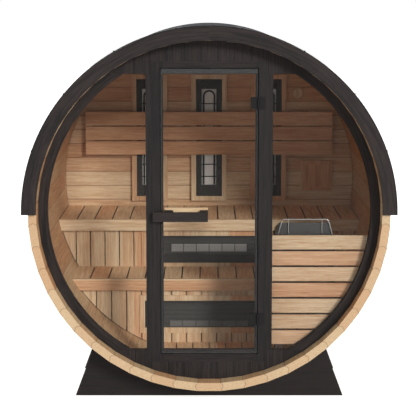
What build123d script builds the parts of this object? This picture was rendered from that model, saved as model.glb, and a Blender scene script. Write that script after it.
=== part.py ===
from build123d import *
import math
import os

# Barrel sauna: a stave barrel on three cradles, with a glass front, a shingle roof and tiered benches.
# X points right, Y points to the back and Z up. The origin is on the ground under the middle.
# Heights in this list are measured from the barrel's axis, depths from the front end of the staves.

# Barrel
stave_count = 48
barrel_length = 1800.0
barrel_inner_radius = 954.0
stave_thickness = 46.0
bead_height = 13.0
bead_runs = 4
stave_gap = 0.3
ground_clearance = 93.0
fit_gap = 0.3

# End walls, let into grooves round the barrel
end_recess = 93.0
groove_depth = 8.0
front_wall_thickness = 45.0
back_wall_thickness = 38.0

# Openings in the front wall, with their margins to the barrel's inner face
opening_top_margin = 185.0
opening_bottom_margin = 167.0
window_frame_width = 57.5
post_width = 33.0
glass_thickness = 8.0
glass_bite = 10.0
glass_setback = 14.0

# Door frame and door
frame_jamb_width = 45.0
frame_head_height = 34.5
frame_sill_height = 44.0
door_width = 538.0
door_top_margin = 156.5
door_bottom_margin = 148.5
door_gap = 5.5
door_setback = 2.0
stop_gap = 5.0
stop_reach = 18.0

# Hinges
hinge_end_distance = 192.5
hinge_length = 66.0
hinge_clamp_width = 36.0
hinge_plate_thickness = 5.0
hinge_knuckle_radius = 6.0
hinge_pin_radius = 3.0
hinge_pin_forward = 9.0
hinge_running_gap = 0.5

# Handles
outer_handle_overhang = 45.0
outer_handle_length = 307.0
outer_handle_top = 4.5
outer_handle_height = 53.0
outer_handle_thickness = 20.0
outer_handle_standoff = 28.0
inner_handle_inset = 21.0
inner_handle_length = 243.0
inner_handle_top = 24.0
inner_handle_height = 74.0
inner_handle_thickness = 24.0
finger_grip_radius = 320.0
finger_grip_depth = 8.0
handle_bolt_radius = 5.0
handle_bolt_inset = 45.0
bar_sides = 8

# Roof covering, the verge boards at both ends and the strip on the front ones
roof_thickness = 20.5
course_angle = 20.0
course_step = 4.0
fascia_thickness = 24.0
fascia_reveal = 1.5
fascia_rise = 12.5
verge_trim_thickness = 3.0

# Steel bands
band_setback = 120.0
band_width = 20.0
band_thickness = 1.5
band_lug_low_angle = 48.2
band_lug_high_angle = 37.9
band_lug_height = 27.0
band_lug_thickness = 6.0
band_rod_radius = 4.0
band_rod_height = 16.0
band_rod_overrun = 16.0

# Cradles
cradle_end_distance = 267.0
cradle_thickness = 45.0
cradle_arm_angle = 40.35
cradle_foot_splay = 123.0

# Floor
floor_height = 75.0
floor_pitch = 98.0
floor_board_gap = 7.0
board_thickness = 20.0
bearer_width = 45.0
floor_bearer_places = (0.12, 0.5, 0.88)

# Benches
bench_pitch = 110.0
bench_gap = 8.0
bench_board_thickness = 22.0
bench_fascia_height = 70.0
lower_bench_rise = 394.0
lower_bench_front = 640.0
upper_bench_rise = 301.0
upper_bench_front = 1030.0
narrowest_board = 20.0

# Risers under the benches
riser_setback = 34.0
riser_pitch = 90.4
riser_gap = 6.0
upper_riser_first_gap = 471.0

# Heater panels in the risers
riser_panel_half_width = 387.0
riser_frame_width = 33.0
riser_heater_proud = 6.0
lower_panel_rise = 90.0
lower_panel_height = 166.0
upper_panel_rise = 23.0
upper_panel_height = 172.0
riser_slot_half_length = 258.0
riser_slot_height = 97.0

# Heater panels on the back wall
wall_heater_spacing = 392.0
wall_heater_proud = 29.0
wall_frame_width = 31.0
wall_panel_width = 172.0
wall_panel_rise = 66.0
wall_heater_clearance = 99.0
wall_slot_width = 97.0
wall_slot_foot = 74.0
wall_slot_head = 65.0
panel_thickness = 3.0
panel_inset = 4.0
tray_wall = 2.0
tray_depth = 14.0

# Backrest
backrest_rise = 627.0
backrest_pitch = 96.0
backrest_board_height = 88.0
backrest_end_clearance = 31.5
backrest_front_clearance = 69.0
batten_width = 46.0
batten_end_distance = 24.0
right_batten_gap = 119.0

# Vents on the back wall
round_vent_rise = 120.0
round_vent_clearance = 143.5
round_vent_radius = 34.5
vent_proud = 20.0
box_vent_clearance = 241.0
box_vent_height = 18.0
box_vent_width = 200.0
box_vent_rim = 24.0

# Stove guard
guard_front = 152.0
guard_gap = 6.5
guard_rise = 738.5
guard_pitch = 91.0
guard_board_height = 80.0
guard_board_count = 7
guard_batten_gap = 5.0
guard_batten_spacing = 244.0

# Stove
stove_front = 205.0
stove_depth = 290.0
stove_barrel_distance = 410.0
stove_width = 340.0
stove_side_ledge = 6.0
stove_front_ledge = 13.0
stove_rise = 49.5
cabinet_height = 395.0
hopper_height = 74.0
hopper_top_width = 289.0
hopper_top_depth = 254.0
hopper_wall = 5.0
rail_rise = 20.0
rail_radius = 4.5
rail_top_half_length = 126.0
rail_foot_half_length = 152.0
stand_bar = 40.0
stand_inset = 12.0

barrel_outer_radius = barrel_inner_radius + stave_thickness
axis_height = barrel_outer_radius + ground_clearance
half_stave = math.pi / stave_count
inner_corner_radius = barrel_inner_radius / math.cos(half_stave)
outer_corner_radius = barrel_outer_radius / math.cos(half_stave)
band_inner_radius = barrel_outer_radius + fit_gap
roof_outer_radius = barrel_outer_radius + roof_thickness
wall_radius = barrel_inner_radius + groove_depth - fit_gap
front_end = -barrel_length / 2
rear_end = barrel_length / 2
front_wall_front = front_end + end_recess
front_wall_back = front_wall_front + front_wall_thickness
back_wall_back = rear_end - end_recess
back_wall_front = back_wall_back - back_wall_thickness
door_front = front_wall_front + door_setback
door_back = door_front + glass_thickness
door_half_width = door_width / 2
door_top = barrel_inner_radius - door_top_margin
door_bottom = -(barrel_inner_radius - door_bottom_margin)
outer_handle_left = -door_half_width - outer_handle_overhang
inner_handle_left = -door_half_width + inner_handle_inset
inner_handle_right = inner_handle_left + inner_handle_length
opening_top = barrel_inner_radius - opening_top_margin
opening_bottom = -(barrel_inner_radius - opening_bottom_margin)
side_opening_radius = barrel_inner_radius - window_frame_width
frame_outer_x = door_half_width + door_gap + frame_jamb_width
post_outer_x = frame_outer_x + post_width
floor_top = floor_height - barrel_inner_radius
lower_bench_top = floor_top + lower_bench_rise
upper_bench_top = lower_bench_top + upper_bench_rise
lower_riser_front = lower_bench_front + riser_setback
upper_riser_front = upper_bench_front + riser_setback
lower_panel_bottom = floor_top + lower_panel_rise
lower_panel_top = lower_panel_bottom + lower_panel_height
upper_panel_bottom = lower_bench_top + upper_panel_rise
upper_panel_top = upper_panel_bottom + upper_panel_height
wall_heater_edge = wall_heater_spacing + wall_panel_width / 2 + wall_frame_width
wall_heater_reach = barrel_inner_radius - wall_heater_clearance
wall_panel_bottom = upper_bench_top + wall_panel_rise
wall_panel_top = math.sqrt(wall_heater_reach ** 2 - wall_heater_edge ** 2) - wall_frame_width
backrest_top = upper_bench_top + backrest_rise
guard_left = frame_outer_x + guard_gap
guard_top = floor_top + guard_rise
stove_top = guard_top + stove_rise
stove_shoulder = stove_top - hopper_height
stove_base = stove_shoulder - cabinet_height
stove_centre_x = barrel_inner_radius - stove_barrel_distance


def block(x0, x1, y0, y1, z0, z1):
    """A box between two corners."""
    middle = Pos((x0 + x1) / 2, (y0 + y1) / 2, (z0 + z1) / 2)
    return middle * Box(x1 - x0, y1 - y0, z1 - z0)


def drum(radius, y0, y1):
    """A round bar about the barrel's axis."""
    return Pos(0, (y0 + y1) / 2, 0) * Rot(90, 0, 0) * Cylinder(radius, y1 - y0)


def bar(radius, length):
    """A slim upright bar, made as a prism that stays inside the radius."""
    return extrude(RegularPolygon(radius, bar_sides), amount=length / 2, both=True)


def bore(radius, length):
    """The room for a slim bar, made as a prism that stays outside the radius."""
    return extrude(RegularPolygon(radius, bar_sides, major_radius=False), amount=length / 2, both=True)


def along_y(profile, y0, y1):
    """A profile, drawn as seen from the front, made into a piece from y0 to y1."""
    return extrude(Plane.XZ.offset(-y1) * profile, amount=y1 - y0)


def polar(radius, degrees):
    """A point at an angle about the axis, counted from the right-hand horizontal."""
    return Vector(radius * math.cos(math.radians(degrees)), radius * math.sin(math.radians(degrees)))


def sector(inner, outer_start, outer_end, start, end):
    """Part of a ring, whose outer radius may change from one end to the other."""
    middle = (start + end) / 2
    outer_middle = (outer_start + outer_end) / 2
    edges = [
        ThreePointArc(polar(inner, start), polar(inner, middle), polar(inner, end)),
        Line(polar(inner, end), polar(outer_end, end)),
        ThreePointArc(polar(outer_end, end), polar(outer_middle, middle), polar(outer_start, start)),
        Line(polar(outer_start, start), polar(inner, start)),
    ]
    return make_face(edges)


def staved_disc(apothem, y0, y1):
    """A disc about the barrel's axis, with one flat on its rim for each stave."""
    turn = math.degrees(half_stave)
    return along_y(RegularPolygon(apothem, stave_count, major_radius=False, rotation=turn), y0, y1)


def half_width_at(height):
    """Half the clear width inside the barrel at a height."""
    return math.sqrt(barrel_inner_radius ** 2 - height ** 2)


def inside_barrel(piece):
    """A piece cut to the curve of the barrel's inner face."""
    return piece & drum(barrel_inner_radius - fit_gap, front_end, rear_end)


def save(name, *shapes):
    """Write one named piece, or a group of like pieces, lifted to its height above the ground."""
    solids = [solid for shape in shapes for solid in shape.solids()]
    export_step(Pos(0, 0, axis_height) * Compound(solids), f"parts/{name}.step")


def stave_edge(side, curve):
    """Points up one edge of the lowest stave, which bulges out as a bead or in as a cove."""
    tangent = Vector(side * math.cos(half_stave), math.sin(half_stave))
    radial = Vector(side * math.sin(half_stave), -math.cos(half_stave))
    points = []
    for run in range(bead_runs + 1):
        share = run / bead_runs
        distance = inner_corner_radius + share * (outer_corner_radius - inner_corner_radius)
        bulge = curve * bead_height * math.sin(math.pi * share) - stave_gap / 2
        points.append(radial * distance + tangent * bulge)
    return points


def stave(left_curve, right_curve):
    """The lowest stave, grooved for both end walls."""
    left = stave_edge(-1, left_curve)
    right = stave_edge(1, right_curve)
    board = along_y(make_face(Polyline(*left, *reversed(right), close=True)), front_end, rear_end)
    reach = stave_thickness + bead_height + barrel_inner_radius * math.sin(half_stave)
    groove_floor = -(barrel_inner_radius + groove_depth)
    for y0, y1 in ((front_wall_front, front_wall_back), (back_wall_front, back_wall_back)):
        board -= block(-reach, reach, y0 - fit_gap, y1 + fit_gap, groove_floor, 0)
    return board


def barrel():
    """Staves laid from the bottom up: beads point up both sides and the top one has two coves."""
    bottom = stave(1, 1)
    rising_left = stave(1, -1)
    rising_right = stave(-1, 1)
    top = stave(-1, -1)
    groups = ["bottom", "lower_left", "left_side", "upper_left", "top",
              "upper_right", "right_side", "lower_right"]
    staves = {name: [] for name in groups}
    for index in range(stave_count):
        turn = 360.0 * index / stave_count
        if index == 0:
            board = bottom
        elif index * 2 == stave_count:
            board = top
        elif index * 2 < stave_count:
            board = rising_left
        else:
            board = rising_right
        group = int(len(groups) * index / stave_count + 0.5) % len(groups)
        staves[groups[group]].append(Rot(0, turn, 0) * board)
    for name, boards in staves.items():
        save(f"barrel_{name}", *boards)


def roof():
    """Overlapping shingle courses on the upper half, laid over the bands, with a ridge course on top."""
    inner = (band_inner_radius + band_thickness) / math.cos(half_stave) + fit_gap
    high = roof_outer_radius - course_step
    trim = math.degrees(stave_gap / 2 / barrel_outer_radius)
    courses = math.ceil(90 / course_angle) - 1
    right = []
    for course in range(courses):
        start = course * course_angle
        profile = sector(inner, roof_outer_radius, high, start + trim, start + course_angle - trim)
        right.append(along_y(profile, front_end, rear_end))
    start = courses * course_angle + trim
    ridge = sector(inner, roof_outer_radius, roof_outer_radius, start, 180 - start)
    save("roof_cover_right", *right)
    save("roof_cover_left", *[mirror(piece, Plane.YZ) for piece in right])
    save("roof_ridge", along_y(ridge, front_end, rear_end))


def fascias():
    """Verge boards in butted segments over the ends of the staves and roof, with a strip in front."""
    count = round(180 / course_angle)
    step = 180.0 / count
    inner = barrel_inner_radius + fascia_reveal
    outer = roof_outer_radius + fascia_rise
    trim = math.degrees(stave_gap / 2 / outer)
    front = []
    rear = []
    strips = []
    for index in range(count):
        start = index * step + trim
        end = (index + 1) * step - trim
        front_board = sector(inner, outer, outer, start, end)
        front.append(along_y(front_board, front_end - fascia_thickness, front_end))
        rear_board = sector(inner, roof_outer_radius, roof_outer_radius, start, end)
        rear.append(along_y(rear_board, rear_end, rear_end + fascia_thickness))
        strip_outer = outer + fit_gap + verge_trim_thickness
        strip = sector(outer + fit_gap, strip_outer, strip_outer, start, end)
        strips.append(along_y(strip, front_end - fascia_thickness, front_end))
    save("front_fascia", *front)
    save("rear_fascia", *rear)
    save("verge_trim", *strips)


def hoop_radius_at(degrees):
    """How far a band's inner face lies from the axis; it is flat across each stave."""
    stave_angle = 360.0 / stave_count
    offset = (degrees + stave_angle / 2) % stave_angle - stave_angle / 2
    return band_inner_radius / math.cos(math.radians(offset))


def bands():
    """Steel bands whose ends turn up into lugs, drawn together by a threaded rod."""
    angle_between = band_lug_low_angle - band_lug_high_angle
    middle_angle = (band_lug_low_angle + band_lug_high_angle) / 2
    rod_radius = barrel_outer_radius + band_rod_height
    rod_length = 2 * rod_radius * math.sin(math.radians(angle_between / 2)) + 2 * band_rod_overrun
    rod_distance = rod_radius * math.cos(math.radians(angle_between / 2))
    gap = sector(band_inner_radius - 1, outer_corner_radius + band_lug_height,
                 outer_corner_radius + band_lug_height, -band_lug_low_angle, -band_lug_high_angle)
    hoops = []
    for middle in (front_end + band_setback, rear_end - band_setback):
        y0 = middle - band_width / 2
        y1 = middle + band_width / 2
        hoop = staved_disc(band_inner_radius + band_thickness, y0, y1)
        hoop -= staved_disc(band_inner_radius, y0, y1)
        room = along_y(gap, y0 - 1, y1 + 1)
        hoop = hoop - room - mirror(room, Plane.YZ)
        for angle in (band_lug_low_angle, band_lug_high_angle):
            lug = block(hoop_radius_at(angle), barrel_outer_radius + band_lug_height, y0, y1,
                        -band_lug_thickness / 2, band_lug_thickness / 2)
            lug = Rot(0, angle, 0) * lug
            hoop = hoop + lug + mirror(lug, Plane.YZ)
        rod = Rot(0, middle_angle, 0) * Pos(rod_distance, middle, 0) * bar(band_rod_radius, rod_length)
        hoops.append(hoop + rod + mirror(rod, Plane.YZ))
    save("steel_bands", *hoops)


def cradles():
    """Boards shaped to the barrel that carry it clear of the ground."""
    seat = outer_corner_radius + fit_gap
    top_half = seat * math.sin(math.radians(cradle_arm_angle))
    shoulder = -seat * math.cos(math.radians(cradle_arm_angle))
    base_half = top_half + cradle_foot_splay
    profile = make_face([
        Line((-base_half, -axis_height), (base_half, -axis_height)),
        Line((base_half, -axis_height), (top_half, shoulder)),
        ThreePointArc((top_half, shoulder), (0, -seat), (-top_half, shoulder)),
        Line((-top_half, shoulder), (-base_half, -axis_height)),
    ])
    spacing = rear_end - cradle_end_distance
    cradle = along_y(profile, -cradle_thickness / 2, cradle_thickness / 2)
    for name, middle in (("front", -spacing), ("middle", 0), ("rear", spacing)):
        save(f"{name}_cradle", Pos(0, middle, 0) * cradle)


def side_pane(side, grow):
    """A fixed pane between a post and the curved frame, grown all round by a clearance."""
    y0 = front_wall_front + glass_setback - grow
    y1 = front_wall_front + glass_setback + glass_thickness + grow
    near = post_outer_x - glass_bite - grow
    far = wall_radius
    x0, x1 = (near, far) if side > 0 else (-far, -near)
    room = block(x0, x1, y0, y1, opening_bottom - glass_bite - grow, opening_top + glass_bite + grow)
    return room & drum(side_opening_radius + glass_bite + grow, y0, y1)


def front_wall():
    """Arched panels above and below, curved frames and posts beside, all grooved for the panes."""
    y0 = front_wall_front
    y1 = front_wall_back
    frame_top = door_top + door_gap + frame_head_height
    frame_bottom = door_bottom - door_gap - frame_sill_height
    disc = staved_disc(wall_radius, y0, y1)
    pane_room = side_pane(1, fit_gap) + side_pane(-1, fit_gap)
    top = disc & block(-wall_radius, wall_radius, y0, y1, opening_top, wall_radius)
    top -= block(-frame_outer_x - fit_gap, frame_outer_x + fit_gap, y0, y1, opening_top, frame_top + fit_gap)
    bottom = disc & block(-wall_radius, wall_radius, y0, y1, -wall_radius, opening_bottom)
    bottom -= block(-frame_outer_x - fit_gap, frame_outer_x + fit_gap, y0, y1,
                    frame_bottom - fit_gap, opening_bottom)
    save("front_wall_top", top - pane_room)
    save("front_wall_bottom", bottom - pane_room)
    curved = disc - drum(side_opening_radius, y0, y1)
    for name, side in (("left", -1), ("right", 1)):
        x0, x1 = sorted((side * (post_outer_x + fit_gap), side * wall_radius))
        room = block(x0, x1, y0, y1, opening_bottom + fit_gap, opening_top - fit_gap)
        save(f"{name}_window_frame", (curved & room) - pane_room)
        x0, x1 = sorted((side * (frame_outer_x + fit_gap), side * post_outer_x))
        post = block(x0, x1, y0, y1, opening_bottom + fit_gap, opening_top - fit_gap)
        save(f"{name}_post", post - pane_room)
        save(f"{name}_window", side_pane(side, 0))


def door_frame():
    """Jambs, head and sill, rebated so that the door closes against a stop."""
    y0 = front_wall_front
    y1 = front_wall_back
    stop_front = door_back + stop_gap
    head_bottom = door_top + door_gap
    sill_top = door_bottom - door_gap
    frame_top = head_bottom + frame_head_height
    frame_bottom = sill_top - frame_sill_height
    clear_x = door_half_width + door_gap
    stop_x = clear_x - stop_reach
    jambs = []
    for side in (-1, 1):
        x0, x1 = sorted((side * stop_x, side * frame_outer_x))
        jamb = block(x0, x1, y0, y1, frame_bottom, frame_top)
        x0, x1 = sorted((side * stop_x, side * clear_x))
        jambs.append(jamb - block(x0, x1, y0, stop_front, sill_top, head_bottom))
    save("door_jambs", *jambs)
    reach = stop_x - fit_gap
    head = block(-reach, reach, y0, y1, opening_top, frame_top)
    head -= block(-reach, reach, y0, stop_front, opening_top, head_bottom)
    sill = block(-reach, reach, y0, y1, frame_bottom, opening_bottom)
    sill -= block(-reach, reach, y0, stop_front, sill_top, opening_bottom)
    save("door_head_and_sill", head, sill)


def door():
    """A frameless pane on two clamp hinges, with a wooden handle on each face."""
    glass = block(-door_half_width, door_half_width, door_front, door_back, door_bottom, door_top)
    pin_x = door_half_width + door_gap / 2
    pin_y = front_wall_front - hinge_pin_forward
    hinge_height = (door_top - door_bottom) / 2 - hinge_end_distance
    knuckle_length = hinge_length / 3
    clamps = []
    brackets = []
    for height in (-hinge_height, hinge_height):
        z0 = height - hinge_length / 2
        z1 = height + hinge_length / 2
        plate_back = door_front - fit_gap
        plate_front = plate_back - hinge_plate_thickness
        plate_right = pin_x - hinge_knuckle_radius
        clamp = block(plate_right - hinge_clamp_width, plate_right, plate_front, plate_back, z0, z1)
        barrel_middle = Pos(pin_x, pin_y, height)
        knuckle = barrel_middle * bar(hinge_knuckle_radius, knuckle_length - 2 * hinge_running_gap)
        web = block(plate_right - 1, pin_x, pin_y, pin_y + hinge_knuckle_radius,
                    height - knuckle_length / 2 + hinge_running_gap,
                    height + knuckle_length / 2 - hinge_running_gap)
        pin_room = barrel_middle * bore(hinge_pin_radius + hinge_running_gap, hinge_length)
        clamps.append(clamp + knuckle + web - pin_room)
        leaf_front = front_wall_front - hinge_plate_thickness
        leaf_left = pin_x + hinge_running_gap
        leaf = block(leaf_left, leaf_left + hinge_clamp_width,
                     leaf_front, front_wall_front - fit_gap, z0, z1)
        bracket = leaf - barrel_middle * bore(hinge_knuckle_radius + hinge_running_gap, knuckle_length)
        bracket += barrel_middle * bar(hinge_pin_radius, hinge_length)
        for end in (-1, 1):
            end_middle = Pos(pin_x, pin_y, height + end * knuckle_length)
            bracket += end_middle * bar(hinge_knuckle_radius, knuckle_length)
        brackets.append(bracket)
    save("door_hinges", *clamps)
    save("hinge_brackets", *brackets)
    bolt_height = outer_handle_top - outer_handle_height / 2
    bolts = []
    room = []
    for x in (inner_handle_left + handle_bolt_inset, inner_handle_right - handle_bolt_inset):
        outer_back = door_front - outer_handle_standoff
        middle = (outer_back + door_back) / 2
        length = door_back - outer_back - 2 * fit_gap
        place = Pos(x, middle, bolt_height) * Rot(90, 0, 0)
        bolts.append(place * bar(handle_bolt_radius, length))
        room.append(place * bore(handle_bolt_radius + fit_gap, length + 2))
    for hole in room:
        glass -= hole
    save("door_glass", glass)
    save("handle_bolts", *bolts)
    outer_back = door_front - outer_handle_standoff
    outer = block(outer_handle_left, outer_handle_left + outer_handle_length,
                  outer_back - outer_handle_thickness, outer_back,
                  outer_handle_top - outer_handle_height, outer_handle_top)
    save("outer_handle", outer)
    inner_front = door_back + fit_gap
    inner = block(inner_handle_left, inner_handle_right, inner_front, inner_front + inner_handle_thickness,
                  inner_handle_top - inner_handle_height, inner_handle_top)
    grip_x = (inner_handle_left + inner_handle_right) / 2
    grip_z = inner_handle_top + finger_grip_radius - finger_grip_depth
    grip = Pos(grip_x, inner_front, grip_z) * Rot(90, 0, 0) * Cylinder(finger_grip_radius, barrel_length / 4)
    save("inner_handle", inner - grip)


def back_wall():
    """The closed end wall, let into the staves' grooves with a flat against each of them."""
    save("back_wall", staved_disc(wall_radius, back_wall_front, back_wall_back))


def even_boards(pitch, gap, height, y0, y1, z0, z1):
    """Boards that run front to back, one on the centre line, out to the barrel on both sides."""
    board = pitch - gap
    count = int((half_width_at(height) - narrowest_board + board / 2) // pitch)
    boards = []
    for index in range(-count, count + 1):
        middle = index * pitch
        boards.append(inside_barrel(block(middle - board / 2, middle + board / 2, y0, y1, z0, z1)))
    return boards


def floor():
    """Duckboards between the door and the lower bench, on bearers cut to the barrel's curve."""
    y0 = front_wall_back + fit_gap
    y1 = front_end + lower_riser_front - fit_gap
    z0 = floor_top - board_thickness
    board = floor_pitch - floor_board_gap
    count = math.ceil(half_width_at(floor_top) / floor_pitch)
    boards = []
    for index in range(-count, count):
        x0 = index * floor_pitch + floor_board_gap / 2
        boards.append(inside_barrel(block(x0, x0 + board, y0, y1, z0, floor_top)))
    save("floor_boards", *boards)
    reach = half_width_at(z0)
    bearers = []
    for share in floor_bearer_places:
        middle = y0 + share * (y1 - y0)
        bearer = block(-reach, reach, middle - bearer_width / 2, middle + bearer_width / 2,
                       -barrel_inner_radius, z0 - fit_gap)
        bearers.append(inside_barrel(bearer))
    save("floor_bearers", *bearers)


def riser_heater_room(front, bottom, top):
    """The place that a heater and its frame take up in a riser, with clearance."""
    reach = riser_panel_half_width + riser_frame_width + fit_gap
    y0 = front_end + front - riser_heater_proud - 1
    y1 = front_end + front + board_thickness + 1
    return block(-reach, reach, y0, y1, bottom - fit_gap, top + fit_gap)


def benches():
    """Two tiers of boards with a fascia along the front edge, on bearers from wall to wall."""
    fascias_made = []
    bearers = []
    rear = {"lower": front_end + upper_riser_front - fit_gap, "upper": back_wall_front - fit_gap}
    tiers = (("lower", lower_bench_top, lower_bench_front, lower_riser_front),
             ("upper", upper_bench_top, upper_bench_front, upper_riser_front))
    for name, top, front, riser in tiers:
        y0 = front_end + front
        y1 = y0 + bench_board_thickness
        under = top - bench_board_thickness
        boards = even_boards(bench_pitch, bench_gap, top, y1 + fit_gap, rear[name], under, top)
        save(f"{name}_bench_boards", *boards)
        reach = half_width_at(top)
        fascia = block(-reach, reach, y0, y1, top - bench_fascia_height, top)
        fascias_made.append(inside_barrel(fascia))
        first = front_end + riser + board_thickness + fit_gap
        last = rear[name] - bearer_width
        places = [first, last] if name == "lower" else [first, (first + last) / 2, last]
        for place in places:
            bearer = block(-reach, reach, place, place + bearer_width,
                           under - fit_gap - bearer_width, under - fit_gap)
            bearers.append(inside_barrel(bearer))
    save("bench_fascias", *fascias_made)
    save("bench_bearers", *bearers)


def risers():
    """Upright slats under both benches, cut round the heaters and to the barrel's curve."""
    board = riser_pitch - riser_gap
    y0 = front_end + lower_riser_front
    y1 = y0 + board_thickness
    z1 = lower_bench_top - bench_board_thickness - fit_gap
    room = riser_heater_room(lower_riser_front, lower_panel_bottom - riser_frame_width,
                             lower_panel_top + riser_frame_width)
    count = int((half_width_at(z1) - narrowest_board + board / 2) // riser_pitch)
    lower = []
    for index in range(-count, count + 1):
        middle = index * riser_pitch
        slat = block(middle - board / 2, middle + board / 2, y0, y1, -barrel_inner_radius, z1)
        lower.append(inside_barrel(slat) - room)
    save("lower_riser_slats", *lower)
    y0 = front_end + upper_riser_front
    y1 = y0 + board_thickness
    z0 = lower_bench_top - bench_board_thickness - bearer_width
    z1 = upper_bench_top - bench_board_thickness - fit_gap
    room = riser_heater_room(upper_riser_front, z0 - 1, z1 + 1)
    count = int((half_width_at(z1) - narrowest_board - upper_riser_first_gap) // riser_pitch) + 1
    upper = []
    for index in range(count + 1):
        x1 = upper_riser_first_gap + index * riser_pitch - riser_gap / 2
        slat = block(x1 - board, x1, y0, y1, z0, z1)
        slat = inside_barrel(slat) - room
        upper.append(slat)
        upper.append(mirror(slat, Plane.YZ))
    save("upper_riser_slats", *upper)


def slot_tray(profile, room_profile, front):
    """A shallow tray behind a heater's slot, which is the profile of the room inside it."""
    back = front + tray_depth
    return along_y(profile, front, back) - along_y(room_profile, front, back - tray_wall)


def heaters():
    """Five dark panels in wooden frames, each with a slot in front of its element."""
    frames = []
    panels = []
    trays = []
    half = riser_panel_half_width
    edge = riser_frame_width
    lower_frame = (lower_panel_bottom - edge, lower_panel_top + edge)
    upper_frame = (lower_bench_top + fit_gap, upper_panel_top + edge)
    riser_heaters = (
        (lower_riser_front, lower_panel_bottom, lower_panel_top, lower_frame),
        (upper_riser_front, upper_panel_bottom, upper_panel_top, upper_frame),
    )
    for front, bottom, top, (frame_bottom, frame_top) in riser_heaters:
        y0 = front_end + front - riser_heater_proud
        y1 = front_end + front + board_thickness
        frame = block(-half - edge, half + edge, y0, y1, frame_bottom, frame_top)
        frames.append(frame - block(-half, half, y0 - 1, y1 + 1, bottom, top))
        middle = (bottom + top) / 2
        slot = Pos(0, middle) * Rectangle(2 * riser_slot_half_length, riser_slot_height)
        rim = Pos(0, middle) * Rectangle(2 * (riser_slot_half_length + tray_wall),
                                         riser_slot_height + 2 * tray_wall)
        panel_front = y0 + panel_inset
        panel_back = panel_front + panel_thickness
        panel = block(-half + fit_gap, half - fit_gap, panel_front, panel_back,
                      bottom + fit_gap, top - fit_gap)
        panels.append(panel - along_y(slot, y0, y1))
        trays.append(slot_tray(rim, slot, panel_back + fit_gap))
    half = wall_panel_width / 2
    edge = wall_frame_width
    bottom = wall_panel_bottom
    top = wall_panel_top
    y0 = back_wall_front - wall_heater_proud
    y1 = back_wall_front - fit_gap
    for index in (-1, 0, 1):
        x = index * wall_heater_spacing
        frame = block(x - half - edge, x + half + edge, y0, y1, bottom - edge, top + edge)
        frames.append(frame - block(x - half, x + half, y0 - 1, y1 + 1, bottom, top))
        panel_front = y0 + panel_inset
        panel_back = panel_front + panel_thickness
        radius = wall_slot_width / 2
        wall_slot_bottom = bottom + wall_slot_foot
        straight_top = top - wall_slot_head - radius
        straight = straight_top - wall_slot_bottom
        middle = (straight_top + wall_slot_bottom) / 2
        slot = Pos(x, middle) * Rectangle(wall_slot_width, straight)
        slot += Pos(x, straight_top) * Circle(radius)
        rim_width = wall_slot_width + 2 * tray_wall
        rim = Pos(x, middle - tray_wall / 2) * Rectangle(rim_width, straight + tray_wall)
        rim += Pos(x, straight_top) * Circle(radius + tray_wall)
        panel = block(x - half + fit_gap, x + half - fit_gap, panel_front, panel_back,
                      bottom + fit_gap, top - fit_gap)
        panels.append(panel - along_y(slot, y0, y1))
        trays.append(slot_tray(rim, slot, panel_back + fit_gap))
    save("heater_frames", *frames)
    save("heater_panels", *panels)
    save("heater_trays", *trays)


def backrest():
    """Three long boards on upright battens that stand between the heaters."""
    front = back_wall_front - backrest_front_clearance
    back = front + board_thickness
    reach = barrel_inner_radius - backrest_end_clearance
    half_length = math.sqrt(reach ** 2 - backrest_top ** 2)
    boards = []
    for index in range(3):
        top = backrest_top - index * backrest_pitch
        boards.append(block(-half_length, half_length, front, back, top - backrest_board_height, top))
    bottom = backrest_top - 2 * backrest_pitch - backrest_board_height
    battens = []
    between = wall_heater_spacing / 2
    for x in (batten_end_distance - half_length, -between, between, wall_heater_edge + right_batten_gap):
        battens.append(block(x - batten_width / 2, x + batten_width / 2, back + fit_gap,
                             back_wall_front - fit_gap, bottom, backrest_top))
    save("backrest_boards", *boards)
    save("backrest_battens", *battens)


def vents():
    """A round vent with a chamfered rim high on the back wall, and a box vent with a sunk middle."""
    y0 = back_wall_front - vent_proud
    y1 = back_wall_front - fit_gap
    round_vent_height = backrest_top + round_vent_rise
    round_vent_reach = barrel_inner_radius - round_vent_clearance
    round_vent_x = math.sqrt(round_vent_reach ** 2 - round_vent_height ** 2)
    place = Pos(round_vent_x, (y0 + y1) / 2, round_vent_height) * Rot(90, 0, 0)
    knob = place * Cylinder(round_vent_radius, y1 - y0)
    knob = chamfer(knob.edges().group_by(Axis.Y)[0], vent_proud / 4)
    box_vent_x = barrel_inner_radius - box_vent_clearance
    half = box_vent_width / 2
    inner = half - box_vent_rim
    box = block(box_vent_x - half, box_vent_x + half, y0, y1, box_vent_height - half, box_vent_height + half)
    box -= block(box_vent_x - inner, box_vent_x + inner, y0, y0 + vent_proud / 4,
                 box_vent_height - inner, box_vent_height + inner)
    save("wall_vents", knob, box)


def guard():
    """Boards across the right-hand window in front of the stove, on two battens."""
    y0 = front_end + guard_front
    y1 = y0 + board_thickness
    boards = []
    for index in range(guard_board_count):
        top = guard_top - index * guard_pitch
        board = block(guard_left, barrel_inner_radius, y0, y1, top - guard_board_height, top)
        boards.append(inside_barrel(board))
    save("stove_guard_boards", *boards)
    battens = []
    first = half_width_at(floor_top) + guard_batten_gap
    for x in (first, first + guard_batten_spacing):
        batten = block(x, x + bearer_width, y1 + fit_gap, y1 + fit_gap + bench_board_thickness,
                       -barrel_inner_radius, guard_top)
        battens.append(inside_barrel(batten))
    save("stove_guard_battens", *battens)


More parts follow.
